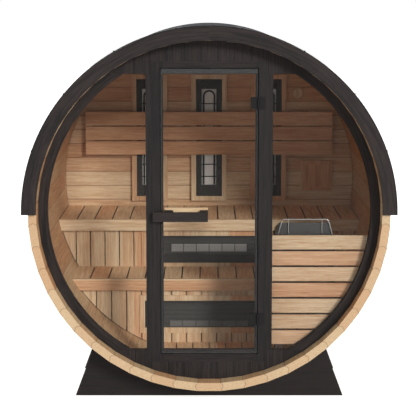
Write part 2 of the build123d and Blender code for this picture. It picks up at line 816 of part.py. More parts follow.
def stove():
    """A box stove with a tapered stone hopper on its ledge, and a steel stand cut to the barrel."""
    y0 = front_end + stove_front
    y1 = y0 + stove_depth
    x0 = stove_centre_x - stove_width / 2
    x1 = stove_centre_x + stove_width / 2
    middle_y = (y0 + y1) / 2
    save("stove_cabinet", block(x0, x1, y0, y1, stove_base, stove_shoulder))
    foot_width = stove_width - 2 * stove_side_ledge
    foot_depth = stove_depth - 2 * stove_front_ledge
    foot_z = stove_shoulder + fit_gap
    outer = hopper_form(middle_y, foot_z, foot_width, foot_depth, stove_top, 0)
    inner = hopper_form(middle_y, foot_z + hopper_wall, foot_width, foot_depth, stove_top + 1, hopper_wall)
    save("stove_hopper", outer - inner)
    z1 = stove_base - fit_gap
    stand_left = x0 + stand_inset
    frames = []
    for y in (y0 + stand_bar / 2, y1 - 1.5 * stand_bar):
        beam = block(stand_left, half_width_at(z1), y, y + stand_bar, z1 - stand_bar, z1)
        leg = block(stand_left, stand_left + stand_bar, y, y + stand_bar, -barrel_inner_radius, z1)
        frames.append(inside_barrel(beam + leg))
    save("stove_stand", *frames)


def tapered_outline(half_foot, half_rim, z0, z1):
    """The outline of a form that narrows upward."""
    corners = [(-half_foot, z0), (half_foot, z0), (half_rim, z1), (-half_rim, z1)]
    return make_face(Polyline(*corners, close=True))


def hopper_form(middle_y, foot_z, foot_width, foot_depth, top_z, wall):
    """The hopper's tapered form, drawn in by a wall all round."""
    wide = tapered_outline(foot_width / 2 - wall, hopper_top_width / 2 - wall, foot_z, top_z)
    deep = tapered_outline(foot_depth / 2 - wall, hopper_top_depth / 2 - wall, foot_z, top_z)
    across = along_y(wide, -foot_depth, foot_depth)
    lengthwise = Rot(0, 0, 90) * along_y(deep, -foot_width, foot_width)
    return Pos(stove_centre_x, middle_y, 0) * (across & lengthwise)


def bent_bar(path, radius):
    """A slim bar along a path of straight runs."""
    start = Plane(origin=path @ 0, z_dir=path % 0)
    return sweep(start * RegularPolygon(radius, bar_sides), path=path, transition=Transition.RIGHT)


def stove_rail():
    """A bent bar round the hopper, on splayed legs that stand on the cabinet's front and back ledge."""
    y0 = front_end + stove_front + stove_front_ledge / 2
    y1 = y0 + stove_depth - stove_front_ledge
    splay = rail_foot_half_length - rail_top_half_length
    rail_top = stove_top + rail_rise
    lean = math.atan2(splay, rail_top - stove_shoulder)
    foot_z = stove_shoulder + rail_radius * math.sin(lean) + fit_gap
    left = stove_centre_x - rail_top_half_length
    right = stove_centre_x + rail_top_half_length
    whole = None
    for y in (y0, y1):
        path = Polyline((left - splay, y, foot_z), (left, y, rail_top), (right, y, rail_top),
                        (right + splay, y, foot_z))
        loop = bent_bar(path, rail_radius)
        whole = loop if whole is None else whole + loop
    for x in (left, right):
        whole += bent_bar(Line((x, y0, rail_top), (x, y1, rail_top)), rail_radius)
    save("stove_rail", whole)


os.makedirs("parts", exist_ok=True)
barrel()
roof()
fascias()
bands()
cradles()
front_wall()
door_frame()
door()
back_wall()
floor()
benches()
risers()
heaters()
backrest()
vents()
guard()
stove()
stove_rail()
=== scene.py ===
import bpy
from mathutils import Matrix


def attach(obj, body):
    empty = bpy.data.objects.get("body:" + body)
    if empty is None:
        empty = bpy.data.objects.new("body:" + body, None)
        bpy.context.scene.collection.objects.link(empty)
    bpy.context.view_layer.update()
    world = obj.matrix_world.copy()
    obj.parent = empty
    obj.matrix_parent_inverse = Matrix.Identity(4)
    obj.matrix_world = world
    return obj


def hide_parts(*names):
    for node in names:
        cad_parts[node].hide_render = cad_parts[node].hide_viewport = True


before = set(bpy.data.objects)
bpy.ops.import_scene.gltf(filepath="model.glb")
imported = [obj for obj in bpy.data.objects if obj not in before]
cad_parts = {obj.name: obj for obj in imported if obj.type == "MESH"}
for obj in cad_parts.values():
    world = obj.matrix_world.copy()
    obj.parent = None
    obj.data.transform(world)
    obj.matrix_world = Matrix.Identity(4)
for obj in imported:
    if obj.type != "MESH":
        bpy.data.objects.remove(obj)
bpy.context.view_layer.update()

import math

import bmesh
import bpy
from mathutils import Vector

# Studio: the photograph's viewpoint, a soft low key light from the front right, a weaker one from behind and an
# even pale surround. The floor keeps the sauna's shadow. The camera, gloss and glass see white all round.
scene = bpy.context.scene
scene.view_settings.view_transform = "Standard"
focal_length = 126.9
camera_place = (-0.0068, -8.900, 2.2774)
camera_tilt = 81.84
room_light = 0.50
floor_glow = 0.8
floor_reach = 40


class Socket:
    """One output of a node. Python's operators on it add Math nodes to the same tree."""

    def __init__(self, sheet, output):
        self.sheet = sheet
        self.output = output

    def of(self, name):
        """Another output of the same node."""
        return Socket(self.sheet, port(self.output.node.outputs, name))

    def math(self, operation, *values):
        return self.sheet.node("ShaderNodeMath", {"operation": operation}, dict(enumerate(values)))

    def one(self, operation):
        return self.math(operation, self)

    def __add__(self, other):
        return self.math("ADD", self, other)

    def __sub__(self, other):
        return self.math("SUBTRACT", self, other)

    def __rsub__(self, other):
        return self.math("SUBTRACT", other, self)

    def __mul__(self, other):
        return self.math("MULTIPLY", self, other)

    def __truediv__(self, other):
        return self.math("DIVIDE", self, other)

    def __rtruediv__(self, other):
        return self.math("DIVIDE", other, self)

    def __pow__(self, other):
        return self.math("POWER", self, other)

    def __mod__(self, other):
        return self.math("FLOORED_MODULO", self, other)

    def __gt__(self, other):
        return self.math("GREATER_THAN", self, other)

    def __lt__(self, other):
        return self.math("LESS_THAN", self, other)

    def __abs__(self):
        return self.math("ABSOLUTE", self)

    __radd__ = __add__
    __rmul__ = __mul__


def port(sockets, name):
    """A socket by its number, its identifier or its name."""
    if isinstance(name, int):
        return sockets[name]
    return next((s for s in sockets if s.identifier == name), None) or sockets[name]


class Sheet:
    """A node tree, built line by line."""

    def __init__(self, tree):
        self.tree = tree
        tree.nodes.clear()

    def node(self, kind, settings=None, sockets=None, output=0):
        """Adds a node of this kind with its settings and the values or links of its sockets. Gives one output."""
        made = self.tree.nodes.new(kind)
        for name, value in (settings or {}).items():
            setattr(made, name, value)
        for name, value in (sockets or {}).items():
            if isinstance(value, Socket):
                self.tree.links.new(value.output, port(made.inputs, name))
            else:
                port(made.inputs, name).default_value = value
        return Socket(self, port(made.outputs, output)) if len(made.outputs) else made


def seen_directly(sheet):
    """1 for rays of the camera, of gloss and through glass, 0 for rays that carry light."""
    ray = sheet.node("ShaderNodeLightPath", output="Is Camera Ray")
    return ray.math("MAXIMUM", ray, ray.math("MAXIMUM", ray.of("Is Glossy Ray"), ray.of("Is Transmission Ray")))


def shade(red, green, blue):
    """A colour as it shows on a screen, 0 to 255, made linear."""
    linear = [c / 255 / 12.92 if c < 11 else ((c / 255 + 0.055) / 1.055) ** 2.4 for c in (red, green, blue)]
    return (*linear, 1)


lens = bpy.data.cameras.new("camera")
lens.lens = focal_length
camera = bpy.data.objects.new("camera", lens)
camera.location = camera_place
camera.rotation_euler = (math.radians(camera_tilt), 0, 0)
scene.collection.objects.link(camera)
scene.camera = camera

surround = bpy.data.worlds.new("surround")
surround.use_nodes = True
scene.world = surround
sheet = Sheet(surround.node_tree)
ambient = sheet.node("ShaderNodeBackground", {}, {"Color": shade(253, 250, 247), "Strength": room_light})
white = sheet.node("ShaderNodeBackground", {}, {"Color": (1, 1, 1, 1), "Strength": 1.0})
around = sheet.node("ShaderNodeMixShader", {}, {0: seen_directly(sheet), 1: ambient, 2: white})
sheet.node("ShaderNodeOutputWorld", {}, {"Surface": around})


def add_sun(name, azimuth, elevation, strength, spread, colour):
    """A broad lamp whose light comes from azimuth (0 in front, 90 on the right) and elevation, in degrees."""
    lamp = bpy.data.lights.new(name, "SUN")
    lamp.energy = strength
    lamp.angle = math.radians(spread)
    lamp.color = colour[:3]
    holder = bpy.data.objects.new(name, lamp)
    a, e = math.radians(azimuth), math.radians(elevation)
    toward = Vector((math.sin(a) * math.cos(e), -math.cos(a) * math.cos(e), math.sin(e)))
    holder.rotation_euler = toward.to_track_quat("Z", "Y").to_euler()
    scene.collection.objects.link(holder)


add_sun("key_light", azimuth=26.5, elevation=18, strength=2.35, spread=14, colour=shade(255, 252, 247))
add_sun("fill_light", azimuth=215, elevation=50, strength=0.9, spread=40, colour=shade(246, 249, 255))

pale_floor = bpy.data.materials.new("pale_floor")
pale_floor.use_nodes = True
sheet = Sheet(pale_floor.node_tree)
pale = sheet.node("ShaderNodeBsdfDiffuse", {}, {"Color": shade(214, 214, 214)})
glow = sheet.node("ShaderNodeEmission", {}, {"Color": (1, 1, 1, 1), "Strength": seen_directly(sheet) * floor_glow})
lit = sheet.node("ShaderNodeAddShader", {}, {0: pale, 1: glow})
sheet.node("ShaderNodeOutputMaterial", {}, {"Surface": lit})
floor_mesh = bpy.data.meshes.new("studio_floor")
floor_corners = [(x * floor_reach, y * floor_reach, 0) for x, y in ((-1, -1), (1, -1), (1, 1), (-1, 1))]
floor_mesh.from_pydata(floor_corners, [], [(0, 1, 2, 3)])
floor_mesh.materials.append(pale_floor)
studio_floor = bpy.data.objects.new("studio_floor", floor_mesh)
scene.collection.objects.link(studio_floor)

# Barrel: 48 flat softwood staves, each with a bead on one edge that sits in its neighbour's cove, held by two bands.
# They are planed and oiled. Inside and out the grain runs front to back; the ends show cut end grain.
axis_height = 1.093
stave_turn = math.radians(7.5)
inner_radius = 0.954
stave_thickness = 0.046
stave_middle = 0.98
bead_height = 0.013
tone_jump = 60


class Finish(Sheet):
    """A procedural material that reads the object's own coordinates, in metres."""

    def __init__(self, name):
        self.material = bpy.data.materials.new(name)
        self.material.use_nodes = True
        super().__init__(self.material.node_tree)
        self.place = self.node("ShaderNodeTexCoord", output="Object")
        self.x = self.node("ShaderNodeSeparateXYZ", {}, {"Vector": self.place}, "X")
        self.y, self.z = self.x.of("Y"), self.x.of("Z")

    def vector(self, x, y, z):
        return self.node("ShaderNodeCombineXYZ", {}, {"X": x, "Y": y, "Z": z})

    def noise(self, vector, scale=1.0, detail=2.0, roughness=0.5):
        sockets = {"Vector": vector, "Scale": scale, "Detail": detail, "Roughness": roughness}
        return self.node("ShaderNodeTexNoise", {}, sockets, "Fac")

    def clamp(self, value, low=0.0, high=1.0):
        """value from low to high becomes 0 to 1, and stays there outside."""
        return self.node("ShaderNodeMapRange", {}, {"Value": value, "From Min": low, "From Max": high})

    def mix(self, share, first, second, how="MIX"):
        settings = {"data_type": "RGBA", "blend_type": how}
        sockets = {"Factor_Float": share, "A_Color": first, "B_Color": second}
        return self.node("ShaderNodeMix", settings, sockets, "Result_Color")

    def facing(self, name):
        """How far the surface faces along X, Y or Z, 0 to 1."""
        normal = self.node("ShaderNodeNewGeometry", output="True Normal")
        return abs(self.node("ShaderNodeSeparateXYZ", {}, {"Vector": normal}, name))

    def close(self, colour, roughness, height=None, depth=0.001, **fixed):
        """Ends the material in one surface; depth is how high the relief stands, in metres."""
        sockets = {"Base Color": colour, "Roughness": roughness}
        if height is not None:
            sockets["Normal"] = self.node("ShaderNodeBump", {}, {"Height": height, "Distance": depth})
        sockets.update({name.replace("_", " "): value for name, value in fixed.items()})
        surface = self.node("ShaderNodeBsdfPrincipled", {}, sockets)
        self.node("ShaderNodeOutputMaterial", {}, {"Surface": surface})
        return self.material


def sawn(finish, across, along, depth, board, pale, warm, start=0.0, contrast=0.85):
    """Colour and relief of boards sawn from logs, alike on all their faces: each board has its own heart and tone.
    across, along and depth are distances in the board, board is its number, and start picks the run of tones."""
    ring_gap = 0.010
    turned = board * 12.9898 + start
    chance = (turned.one("SINE") * 43.758).one("FRACT")
    aside, below = (chance * 17.31).one("FRACT"), (chance * 53.7).one("FRACT")
    wander = finish.noise(finish.vector(across * 4, along * 0.9, board * 3.7), detail=1.0) - 0.5
    from_heart = across - (aside - 0.5) * 0.05
    under = depth + below * 0.05 + 0.025
    reach = (from_heart * from_heart + under * under).one("SQRT")
    rings = (reach + wander * 0.03) * (2 * math.pi / ring_gap)
    late = (rings.one("SINE") * 0.5 + 0.5) ** 3
    streaks = finish.noise(finish.vector(across * 90, along * 4 + board * 5.3, depth * 90), detail=4.0, roughness=0.6)
    fibres = finish.noise(finish.vector(across * 230, along * 14 + board, depth * 230), detail=3.0, roughness=0.7)
    figure = finish.clamp(streaks, 0.36, 0.64) * 0.45 + late * 0.2 + finish.clamp(fibres, 0.34, 0.66) * 0.35
    patch = finish.noise(finish.vector(across * 9, along * 0.7, board * 2.1)) - 0.5
    tone = finish.clamp(chance + patch * 0.3, 0.1, 0.95)
    light = finish.mix(tone, pale, warm)
    dark = finish.mix(1.0, light, shade(192, 152, 118), "MULTIPLY")
    return finish.mix(figure * contrast, light, dark), figure, chance


def dress(material, *names):
    """Gives CAD nodes their finish, through their own material slots."""
    for name in names:
        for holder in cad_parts[name].material_slots:
            holder.material = material


def polar(finish):
    """Distance from the barrel's axis, and the angle up from its lowest line, alike on both sides."""
    rise = finish.z - axis_height
    square = finish.x * finish.x + rise * rise
    return square.one("SQRT"), rise.math("ARCTAN2", abs(finish.x), 0 - rise)


stave_finish = Finish("stave_wood")
reach, turn = polar(stave_finish)
share = stave_finish.clamp(reach, inner_radius, inner_radius + stave_thickness)
bow = (share * math.pi).one("SINE") * bead_height / reach
count = (turn - bow) / stave_turn + 0.5
number = count.one("FLOOR")
from_middle = count - number - 0.5
stave_number = number + (stave_finish.x > 0) * tone_jump
colour, figure, _ = sawn(stave_finish, from_middle * stave_turn * reach, stave_finish.y, reach - stave_middle,
                         stave_number, shade(216, 193, 154), shade(205, 156, 110), 2.97, contrast=0.75)
seam = 1 - stave_finish.clamp((0.5 - abs(from_middle)) * stave_turn * reach, 0.0006, 0.0030)
end_grain = stave_finish.clamp(stave_finish.facing("Y"), 0.6, 0.9)
pores = stave_finish.noise(stave_finish.vector(stave_finish.x, 0, stave_finish.z), 260.0, 3.0, 0.7)
end_tone = stave_finish.mix(stave_finish.clamp(pores, 0.35, 0.65), shade(170, 136, 98), shade(236, 214, 180))
colour = stave_finish.mix(end_grain * 0.5, colour, end_tone)
colour = stave_finish.mix((1 - end_grain) * 0.15, colour, shade(150, 112, 78))
colour = stave_finish.mix(seam * 0.55, colour, shade(96, 58, 32))
stave_wood = stave_finish.close(colour, figure * 0.2 + 0.5, figure - seam, 0.0006)
dress(stave_wood, "barrel_bottom", "barrel_lower_left", "barrel_left_side", "barrel_upper_left",
      "barrel_top", "barrel_upper_right", "barrel_right_side", "barrel_lower_right")

# Roof: mineral-faced felt tabs, nailed in lapped rows over an underlay sheet, from the ridge down to each side.
# Every other row starts half a tab further on, and a ridge row of lapped caps is folded over the top.
underlay_low, underlay_top = 1.0045, 1.0105
roof_half_length = 0.899
row_exposure, tab_width, tab_lap = 0.1355, 0.2, 0.05
ridge_caps, cap_pitch, cap_lap = 12, 0.1498, 0.03
cap_start, cap_end = 80.3, 99.7
cap_front_low, cap_front_top = 1.0155, 1.0200
cap_back_low, cap_back_top = 1.0145, 1.0180


class Pattern(Sheet):
    """A Geometry Nodes tree whose sizes are named inputs."""

    def __init__(self, name, **sizes):
        group = bpy.data.node_groups.new(name, "GeometryNodeTree")
        group.interface.new_socket(name="Geometry", in_out="OUTPUT", socket_type="NodeSocketGeometry")
        group.interface.new_socket(name="Base", in_out="INPUT", socket_type="NodeSocketGeometry")
        self.keys = {}
        for label, value in sizes.items():
            kind = "NodeSocketInt" if isinstance(value, int) else "NodeSocketFloat"
            made = group.interface.new_socket(name=label, in_out="INPUT", socket_type=kind)
            made.default_value = value
            self.keys[label] = made.identifier
        super().__init__(group)
        self.base = self.node("NodeGroupInput", output="Base")
        self.size = {label: self.base.of(label) for label in sizes}

    def end(self, geometry, material):
        """Ends the tree in plain faces of one material."""
        whole = self.node("GeometryNodeRealizeInstances", {}, {"Geometry": geometry})
        painted = self.node("GeometryNodeSetMaterial", {}, {"Geometry": whole, "Material": material})
        self.node("NodeGroupOutput", {}, {"Geometry": painted})

    def grow(self, points=((0, 0, 0),), edges=(), **sizes):
        """The plain mesh that the tree makes from these points, the lines between them and these sizes."""
        seed_mesh = bpy.data.meshes.new("points")
        seed_mesh.from_pydata([tuple(p) for p in points], list(edges), [])
        holder = bpy.data.objects.new("points", seed_mesh)
        scene.collection.objects.link(holder)
        modifier = holder.modifiers.new("grow", "NODES")
        modifier.node_group = self.tree
        for label, value in sizes.items():
            modifier[self.keys[label]] = value
        graph = bpy.context.evaluated_depsgraph_get()
        grown = bpy.data.meshes.new_from_object(holder.evaluated_get(graph), depsgraph=graph)
        bpy.data.objects.remove(holder)
        return grown


def piece(name, mesh, body="sauna", smooth=None):
    """A finished mesh as a piece of the sauna or its door. smooth is the angle past which an edge stays sharp."""
    made = bpy.data.objects.new(name, mesh)
    scene.collection.objects.link(made)
    if smooth is not None:
        mesh.shade_smooth()
        mesh.set_sharp_from_angle(angle=math.radians(smooth))
    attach(made, body)
    return made


felt_finish = Finish("shingles")
reach, turn = polar(felt_finish)
row_turn = row_exposure / underlay_top
row = (math.pi - turn) / row_turn + (0.5 - tab_lap / row_exposure / 2)
row_number = row.one("FLOOR")
tab = felt_finish.y / tab_width + row_number * 0.5
tab_number = tab.one("FLOOR") + row_number * 13 + (felt_finish.x > 0) * 400
tab_tone = felt_finish.node("ShaderNodeTexWhiteNoise", {"noise_dimensions": "1D"}, {"W": tab_number}, "Value")
grit = felt_finish.noise(felt_finish.place, 420.0, 2.0, 0.7)
cloud = felt_finish.noise(felt_finish.place, 9.0, 3.0)
felt = felt_finish.mix(tab_tone * 0.6 + cloud * 0.4, shade(44, 45, 48), shade(74, 76, 80))
felt = felt_finish.mix(felt_finish.clamp(grit, 0.45, 0.75) * 0.55, felt, shade(112, 114, 118))
shingle_felt = felt_finish.close(felt, 0.92, grit, 0.0012)

tabs = Pattern("shingle_tabs", Rows=12, Tabs=10, Exposure=row_exposure, Width=tab_width, Gap=0.005,
               Thickness=0.0035, Lap=tab_lap, Radius=underlay_top, Side=1.0, HalfLength=roof_half_length,
               Tilt=0.021, Lift=0.004)
s = tabs.size
at = tabs.node("ShaderNodeSeparateXYZ", {}, {"Vector": tabs.node("GeometryNodeInputPosition")}, "X")
grid = tabs.node("GeometryNodeMeshGrid", {}, {
    "Size X": (s["Tabs"] - 1) * s["Width"], "Size Y": (s["Rows"] - 1) * s["Exposure"],
    "Vertices X": s["Tabs"], "Vertices Y": s["Rows"]}, "Mesh")
half_run = (s["Rows"] - 1) * 0.5
odd = (at.of("Y") / s["Exposure"] + half_run).one("ROUND") % 2
shift = tabs.node("ShaderNodeCombineXYZ", {}, {"X": odd * s["Width"] * 0.5, "Y": half_run * s["Exposure"]})
laid = tabs.node("GeometryNodeSetPosition", {}, {"Geometry": grid, "Offset": shift})
beyond = at > s["HalfLength"] + s["Width"] / 4
kept = tabs.node("GeometryNodeDeleteGeometry", {"domain": "POINT"}, {"Geometry": laid, "Selection": beyond})
cut = tabs.node("ShaderNodeCombineXYZ", {}, {
    "X": s["Width"] - s["Gap"], "Y": s["Exposure"] + s["Lap"], "Z": s["Thickness"]})
flat_tab = tabs.node("GeometryNodeMeshCube", {}, {"Size": cut, "Vertices X": 3, "Vertices Y": 5}, "Mesh")
lean = tabs.node("ShaderNodeCombineXYZ", {}, {"X": s["Tilt"]})
leaning = tabs.node("GeometryNodeTransform", {}, {"Geometry": flat_tab, "Rotation": lean})
placed = tabs.node("GeometryNodeInstanceOnPoints", {}, {"Points": kept, "Instance": leaning})
flat_roof = tabs.node("GeometryNodeRealizeInstances", {}, {"Geometry": placed})
angle = at.of("Y") / s["Radius"]
radius = at.of("Z") + s["Radius"] + s["Lift"]
along = at.math("MINIMUM", at.math("MAXIMUM", at, s["HalfLength"] * -1), s["HalfLength"])
wrapped = tabs.node("ShaderNodeCombineXYZ", {}, {
    "X": radius * angle.one("SINE") * s["Side"], "Y": along,
    "Z": radius * angle.one("COSINE") + axis_height})
bent_roof = tabs.node("GeometryNodeSetPosition", {}, {"Geometry": flat_roof, "Position": wrapped})
welded = tabs.node("GeometryNodeMergeByDistance", {}, {"Geometry": bent_roof, "Distance": 0.0002})
tabs.end(welded, shingle_felt)


def loft(bm, rings):
    """Joins equal rings of points into one closed solid."""
    loops = [[bm.verts.new(p) for p in ring] for ring in rings]
    size = len(loops[0])
    for first, second in zip(loops, loops[1:]):
        for i in range(size):
            j = (i + 1) % size
            bm.faces.new((first[i], first[j], second[j], second[i]))
    bm.faces.new(loops[0][::-1])
    bm.faces.new(loops[-1])


def arc_shell(bm, section, start, end, steps):
    """A curved slab round the barrel's axis. Its section is a list of radius and y, swept from angle start to end."""
    rings = []
    for i in range(steps + 1):
        a = math.radians(start + (end - start) * i / steps)
        rings.append([(r * math.cos(a), y, axis_height + r * math.sin(a)) for r, y in section])
    loft(bm, rings)


def solid(name, bm, material):
    """Ends a bmesh as a mesh whose faces point outwards."""
    bmesh.ops.recalc_face_normals(bm, faces=bm.faces)
    mesh = bpy.data.meshes.new(name)
    bm.to_mesh(mesh)
    bm.free()
    mesh.materials.append(material)
    return mesh


underlay = [(underlay_low, -roof_half_length), (underlay_top, -roof_half_length),
            (underlay_top, roof_half_length), (underlay_low, roof_half_length)]
for side, name, start, end in ((-1.0, "left", 90, 180), (1.0, "right", 0, 90)):
    bm = bmesh.new()
    bm.from_mesh(tabs.grow(Side=side))
    arc_shell(bm, underlay, start, end, 30)
    covering = piece("roof_shingles_" + name, solid("roof_shingles_" + name, bm, shingle_felt))
    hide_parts("roof_cover_" + name)

bm = bmesh.new()
for i in range(ridge_caps):
    front = i * cap_pitch - roof_half_length
    back = min(front + cap_pitch + cap_lap, roof_half_length)
    cap = [(cap_front_low, front), (cap_front_top, front), (cap_back_top, back), (cap_back_low, back)]
    arc_shell(bm, cap, cap_start, cap_end, 10)
ridge_row = piece("ridge_shingles", solid("ridge_shingles", bm, shingle_felt))
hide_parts("roof_ridge")

# Verge boards: dark-stained boards cut to the curve, screwed to the stave ends, with a thin metal edge strip.
# The strip is pinned every few hand widths; the pins stand a little proud of it.
stain_dark, stain_pale = shade(24, 20, 19), shade(46, 39, 38)
verge_middle = 0.99
pin_reach, pin_y = 1.0375, -0.912
pin_angles = range(20, 180, 20)


def stained(name, across, along, depth, board, low=stain_dark, high=stain_pale, width=0.0):
    """Softwood under a dark brown stain: the grain still shows, and boards of some width meet in fine grooves."""
    finish = Finish(name)
    colour, figure, chance = sawn(finish, across(finish), along(finish), depth(finish), board(finish), high, low)
    base = finish.mix(chance * 0.35, high, low)
    colour = finish.mix(finish.clamp(figure, 0.2, 0.75), base, shade(12, 10, 10))
    if width:
        groove = 1 - finish.clamp(width / 2 - abs(across(finish)), 0.0008, 0.003)
        colour = finish.mix(groove * 0.7, colour, shade(8, 7, 7))
        figure = figure - groove
    return finish.close(colour, 0.68 - figure * 0.1, figure, 0.0007, Specular_IOR_Level=0.22)


def speckled(name, low, high, scale, roughness, detail=2.0, spread=0.2, depth=0.0002, **fixed):
    """Paint, rubber or plain metal: a fine speckle moves its tone, and its roughness by spread. depth is its relief."""
    finish = Finish(name)
    speck = finish.noise(finish.place, scale, detail)
    relief = speck if depth else None
    return finish.close(finish.mix(speck, low, high), speck * spread + roughness, relief, depth, **fixed)


verge_stain = stained("verge_stain", lambda f: polar(f)[0] - verge_middle, lambda f: polar(f)[1] * verge_middle,
                      lambda f: f.y, lambda f: (f.x > 0) * 0.3)
dress(verge_stain, "front_fascia", "rear_fascia")
black_metal = speckled("black_metal", shade(12, 12, 12), shade(26, 25, 25), 300.0, 0.6, detail=3.0,
                       Specular_IOR_Level=0.2)
dress(black_metal, "verge_trim", "hinge_brackets", "door_hinges", "stove_stand")

pins = Pattern("verge_pins", Sides=10, Radius=0.004, Height=0.004)
s = pins.size
at = pins.node("ShaderNodeSeparateXYZ", {}, {"Vector": pins.node("GeometryNodeInputPosition")}, "X")
outward = pins.node("ShaderNodeCombineXYZ", {}, {"X": at, "Z": at.of("Z") - axis_height})
upright = pins.node("FunctionNodeAlignRotationToVector", {"axis": "Z"}, {"Vector": outward}, "Rotation")
head = pins.node("GeometryNodeMeshCylinder", {}, {
    "Vertices": s["Sides"], "Radius": s["Radius"], "Depth": s["Height"]}, "Mesh")
pins.end(pins.node("GeometryNodeInstanceOnPoints", {}, {"Points": pins.base, "Instance": head, "Rotation": upright}),
         black_metal)
spots = [(pin_reach * math.cos(math.radians(a)), pin_y, axis_height + pin_reach * math.sin(math.radians(a)))
         for a in pin_angles]
piece("verge_pins", pins.grow(spots), smooth=40)

# Bands: two stainless straps round the barrel, brushed along their length and bent out into lugs at each side.
# A threaded rod with hexagon nuts between the lugs draws each strap tight.
rod_reach, rod_lean = 1.016, 43.05
lug_low, lug_high = math.radians(-49.1), math.radians(-37.0)
band_places = (-0.78, 0.78)
steel_finish = Finish("brushed_steel")
brush = steel_finish.noise(steel_finish.vector(steel_finish.x * 8, steel_finish.y * 900, steel_finish.z * 8), 1.0, 3.0)
colour = steel_finish.mix(brush, shade(150, 150, 150), shade(196, 196, 198))
brushed_steel = steel_finish.close(colour, brush * 0.2 + 0.25, brush, 0.0001, Metallic=1.0)
dress(brushed_steel, "steel_bands", "handle_bolts")

nuts = Pattern("band_nuts", Sides=6, Radius=0.0075, Height=0.006, Lean=rod_lean)
s = nuts.size
at = nuts.node("ShaderNodeSeparateXYZ", {}, {"Vector": nuts.node("GeometryNodeInputPosition")}, "X")
lean = s["Lean"] * (math.pi / 180)
along_rod = nuts.node("ShaderNodeCombineXYZ", {}, {"X": at.one("SIGN") * lean.one("SINE"), "Z": lean.one("COSINE")})
turned = nuts.node("FunctionNodeAlignRotationToVector", {"axis": "Z"}, {"Vector": along_rod}, "Rotation")
hexagon = nuts.node("GeometryNodeMeshCylinder", {}, {
    "Vertices": s["Sides"], "Radius": s["Radius"], "Depth": s["Height"]}, "Mesh")
nuts.end(nuts.node("GeometryNodeInstanceOnPoints", {}, {"Points": nuts.base, "Instance": hexagon, "Rotation": turned}),
         brushed_steel)
spots = [(side * rod_reach * math.cos(a), y, axis_height + rod_reach * math.sin(a))
         for a in (lug_low, lug_high) for side in (-1, 1) for y in band_places]
piece("band_nuts", nuts.grow(spots))

# Cradles: three softwood bearers under the same dark stain, sawn to the barrel's curve on their upper edge.
# The barrel rests in them by its own weight, near both ends and in the middle.
cradle_middle = 0.2
cradle_stain = stained("cradle_stain", lambda f: f.z - cradle_middle, lambda f: f.x, lambda f: f.y,
                       lambda f: (f.y * 3).one("ROUND"), shade(14, 10, 10), shade(31, 24, 23))
dress(cradle_stain, "front_cradle", "middle_cradle", "rear_cradle")

# Front wall: stained upright tongued and grooved boards above and below the glass, two posts and the door's frame.
# Curved frames hold the side panes from the front and from behind, cut level where they meet the boards.
wall_pitch = 0.093
ring_inner, ring_outer = 0.9025, 0.9545
ring_middle = 0.92
ring_layers = ((-0.8068, -0.7936), (-0.7844, -0.7622))
ring_cuts = ((-0.7865, -1), (0.7685, 1))
ring_spans = (("left_glass_ring", 122, 240), ("right_glass_ring", -60, 58))
post_middle, outer_grip_height = 0.336, 1.07
wall_stain = stained("wall_stain", lambda f: (f.x / wall_pitch + 0.5) % 1 * wall_pitch - wall_pitch / 2,
                     lambda f: f.z, lambda f: f.y, lambda f: (f.x / wall_pitch + 0.5).one("FLOOR") * 0.3,
                     width=wall_pitch)
dress(wall_stain, "front_wall_top", "front_wall_bottom")
ring_stain = stained("ring_stain", lambda f: polar(f)[0] - ring_middle, lambda f: polar(f)[1] * ring_middle,
                     lambda f: f.y, lambda f: (f.x > 0) * 0.4)
for name, start, end in ring_spans:
    bm = bmesh.new()
    for front, back in ring_layers:
        section = [(ring_inner, front), (ring_outer, front), (ring_outer, back), (ring_inner, back)]
        arc_shell(bm, section, start, end, 48)
    for z, up in ring_cuts:
        everything = bm.verts[:] + bm.edges[:] + bm.faces[:]
        bmesh.ops.bisect_plane(bm, geom=everything, plane_co=(0, 0, axis_height + z), plane_no=(0, 0, up),
                               clear_outer=True)
        bmesh.ops.holes_fill(bm, edges=[e for e in bm.edges if e.is_boundary])
    ring = piece(name, solid(name, bm, ring_stain), smooth=30)
    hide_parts(name.replace("glass_ring", "window_frame"))
post_stain = stained("post_stain", lambda f: abs(f.x) - post_middle, lambda f: f.z, lambda f: f.y,
                     lambda f: (f.x > 0) * 0.7, shade(17, 15, 15), shade(36, 32, 32))
dress(post_stain, "left_post", "right_post", "door_jambs")
grip_stain = stained("grip_stain", lambda f: f.z - outer_grip_height, lambda f: f.x, lambda f: f.y,
                     lambda f: 0 * f.x + 5)
dress(grip_stain, "outer_handle")
head_stain = stained("head_stain", lambda f: f.z, lambda f: f.x, lambda f: f.y, lambda f: (f.z > 1) + 3)
dress(head_stain, "door_head_and_sill")

# Panes: 8 mm toughened glass, lightly tinted grey. Two are fixed in the frames, the third is the frameless door leaf.
# They are all but clear when looked at straight on. Towards a grazing view their pale colour shows more, a painted
# reflection of the white surround.
glass_finish = Finish("window_glass")
# Painted reflection: the pale base colour's share grows towards grazing views, standing in for the white surround
# reflected in the glass.
rim = glass_finish.node("ShaderNodeLayerWeight", {}, {"Blend": 0.2}, "Facing")
film = glass_finish.noise(glass_finish.place, 2.0, 2.0)
window_glass = glass_finish.close(shade(214, 218, 220), film * 0.02 + 0.03, Alpha=rim * 0.35 + 0.004 + film * 0.006)
dress(window_glass, "left_window", "right_window", "door_glass")

# Door seal: a soft grey strip stuck round the stop, which the closed pane rests against.
# It is broad under the head, where it shows above the pane.
seal_front, seal_back = -0.7962, -0.7922
seal_outer, seal_inner = (-0.2685, 0.2685, -0.8050, 0.7970), (-0.2640, 0.2640, -0.8005, 0.7700)


